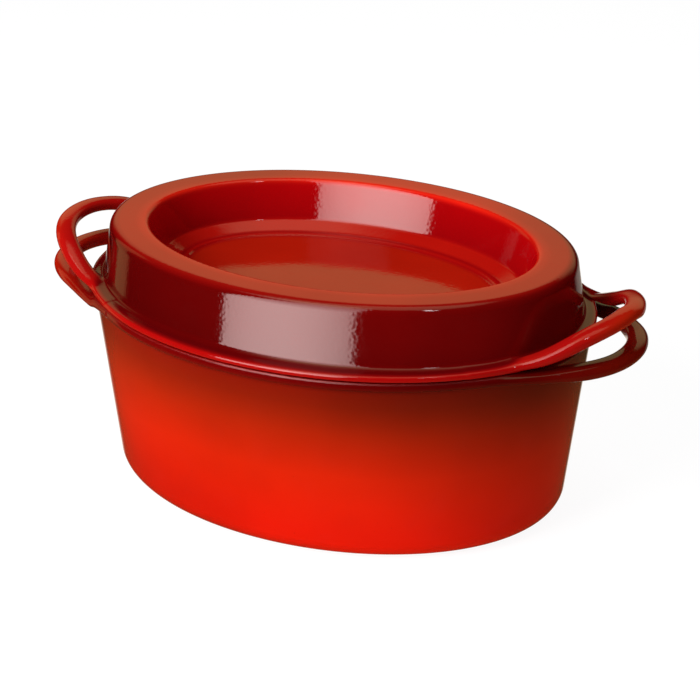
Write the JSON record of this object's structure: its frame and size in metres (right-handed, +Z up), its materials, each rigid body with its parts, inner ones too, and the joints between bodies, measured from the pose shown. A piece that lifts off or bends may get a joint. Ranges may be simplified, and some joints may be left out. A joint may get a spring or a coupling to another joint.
{
  "type": "covered casserole dish",
  "caption": "Oval enamelled cast-iron casserole: a deep pot with looped end handles and a lift-off lid with a wide basin in its top and raised looped handles.",
  "frame": {"origin": "centre of the pot's flat underside", "axes": "+Z up, +X along the long axis of the oval towards one loop handle, +Y across the dish"},
  "size_m": [0.407, 0.2536, 0.17],
  "materials": {
    "pot_enamel": "glossy orange-red enamel, darker red towards the rim",
    "lid_enamel": "glossy red enamel, dark red on the outer wall"
  },
  "bodies": {
    "pot": {"pot": "pot_enamel"},
    "lid": {"lid": "lid_enamel"}
  },
  "joints": [
    {"name": "lid_lift", "type": "slide", "parent": "pot", "child": "lid", "axis": [0, 0, 1], "range_m": [0, 0.16]}
  ]
}
